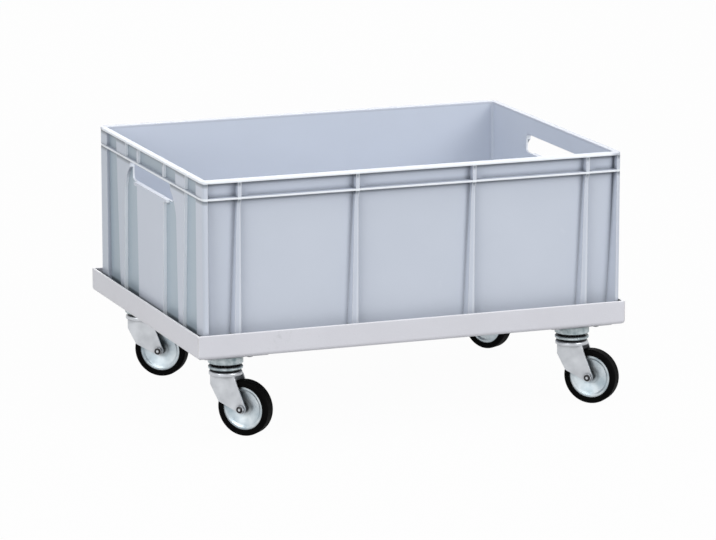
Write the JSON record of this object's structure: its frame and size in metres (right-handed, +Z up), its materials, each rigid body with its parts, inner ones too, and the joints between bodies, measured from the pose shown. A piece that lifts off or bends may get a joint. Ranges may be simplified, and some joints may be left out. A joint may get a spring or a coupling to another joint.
{
  "type": "crate dolly",
  "caption": "Low wheeled frame of steel angle on swivel casters, carrying a lift-out plastic stacking crate with hand holes.",
  "frame": {"origin": "on the floor, under the centre of the frame", "axes": "+X along the long side to the right, +Y to the back, +Z up"},
  "size_m": [0.816, 0.6194, 0.4665],
  "materials": {
    "crate_plastic": "fine satin",
    "frame_steel": "satin",
    "zinc_steel": "bright zinc",
    "dark_steel": "greased",
    "tyre_rubber": "matt"
  },
  "bodies": {
    "frame": {"front_rail": "frame_steel", "back_rail": "frame_steel", "left_rail": "frame_steel", "right_rail": "frame_steel", "plate_bolts": "zinc_steel", "plate_nuts": "zinc_steel", "corner_plate_front_left": "frame_steel", "caster_plate_front_left": "zinc_steel", "swivel_cup_front_left": "zinc_steel", "king_pin_front_left": "zinc_steel", "corner_plate_front_right": "frame_steel", "caster_plate_front_right": "zinc_steel", "swivel_cup_front_right": "zinc_steel", "king_pin_front_right": "zinc_steel", "corner_plate_back_left": "frame_steel", "caster_plate_back_left": "zinc_steel", "swivel_cup_back_left": "zinc_steel", "king_pin_back_left": "zinc_steel", "corner_plate_back_right": "frame_steel", "caster_plate_back_right": "zinc_steel", "swivel_cup_back_right": "zinc_steel", "king_pin_back_right": "zinc_steel"},
    "crate": {"crate": "crate_plastic"},
    "swivel_front_left": {"fork_front_left": "zinc_steel", "lower_race_front_left": "zinc_steel", "ball_ring_front_left": "dark_steel", "axle_bolt_front_left": "zinc_steel", "axle_nut_front_left": "zinc_steel"},
    "wheel_front_left": {"tyre_front_left": "tyre_rubber", "wheel_disc_a_front_left": "zinc_steel", "wheel_disc_b_front_left": "zinc_steel", "hub_bush_front_left": "dark_steel"},
    "swivel_front_right": {"fork_front_right": "zinc_steel", "lower_race_front_right": "zinc_steel", "ball_ring_front_right": "dark_steel", "axle_bolt_front_right": "zinc_steel", "axle_nut_front_right": "zinc_steel"},
    "wheel_front_right": {"tyre_front_right": "tyre_rubber", "wheel_disc_a_front_right": "zinc_steel", "wheel_disc_b_front_right": "zinc_steel", "hub_bush_front_right": "dark_steel"},
    "swivel_back_left": {"fork_back_left": "zinc_steel", "lower_race_back_left": "zinc_steel", "ball_ring_back_left": "dark_steel", "axle_bolt_back_left": "zinc_steel", "axle_nut_back_left": "zinc_steel"},
    "wheel_back_left": {"tyre_back_left": "tyre_rubber", "wheel_disc_a_back_left": "zinc_steel", "wheel_disc_b_back_left": "zinc_steel", "hub_bush_back_left": "dark_steel"},
    "swivel_back_right": {"fork_back_right": "zinc_steel", "lower_race_back_right": "zinc_steel", "ball_ring_back_right": "dark_steel", "axle_bolt_back_right": "zinc_steel", "axle_nut_back_right": "zinc_steel"},
    "wheel_back_right": {"tyre_back_right": "tyre_rubber", "wheel_disc_a_back_right": "zinc_steel", "wheel_disc_b_back_right": "zinc_steel", "hub_bush_back_right": "dark_steel"}
  },
  "joints": [
    {"name": "crate_lift", "type": "slide", "parent": "frame", "child": "crate", "axis": [0, 0, 1], "range_m": [0, 0.33]},
    {"name": "swivel_front_left", "type": "hinge", "parent": "frame", "child": "swivel_front_left", "pos_m": [-0.334, -0.239, 0.1144], "axis": [0, 0, 1], "continuous": true},
    {"name": "roll_front_left", "type": "hinge", "parent": "swivel_front_left", "child": "wheel_front_left", "pos_m": [-0.30731, -0.26812, 0.05], "axis": [0.7373, 0.6756, 0], "continuous": true},
    {"name": "swivel_front_right", "type": "hinge", "parent": "frame", "child": "swivel_front_right", "pos_m": [0.334, -0.239, 0.1144], "axis": [0, 0, 1], "continuous": true},
    {"name": "roll_front_right", "type": "hinge", "parent": "swivel_front_right", "child": "wheel_front_right", "pos_m": [0.36169, -0.26717, 0.05], "axis": [0.7133, 0.7009, 0], "continuous": true},
    {"name": "swivel_back_left", "type": "hinge", "parent": "frame", "child": "swivel_back_left", "pos_m": [-0.334, 0.239, 0.1144], "axis": [0, 0, 1], "continuous": true},
    {"name": "roll_back_left", "type": "hinge", "parent": "swivel_back_left", "child": "wheel_back_left", "pos_m": [-0.3033, 0.21414, 0.05], "axis": [0.6293, 0.7771, 0], "continuous": true},
    {"name": "swivel_back_right", "type": "hinge", "parent": "frame", "child": "swivel_back_right", "pos_m": [0.334, 0.239, 0.1144], "axis": [0, 0, 1], "continuous": true},
    {"name": "roll_back_right", "type": "hinge", "parent": "swivel_back_right", "child": "wheel_back_right", "pos_m": [0.35375, 0.20479, 0.05], "axis": [0.866, 0.5, 0], "continuous": true}
  ]
}
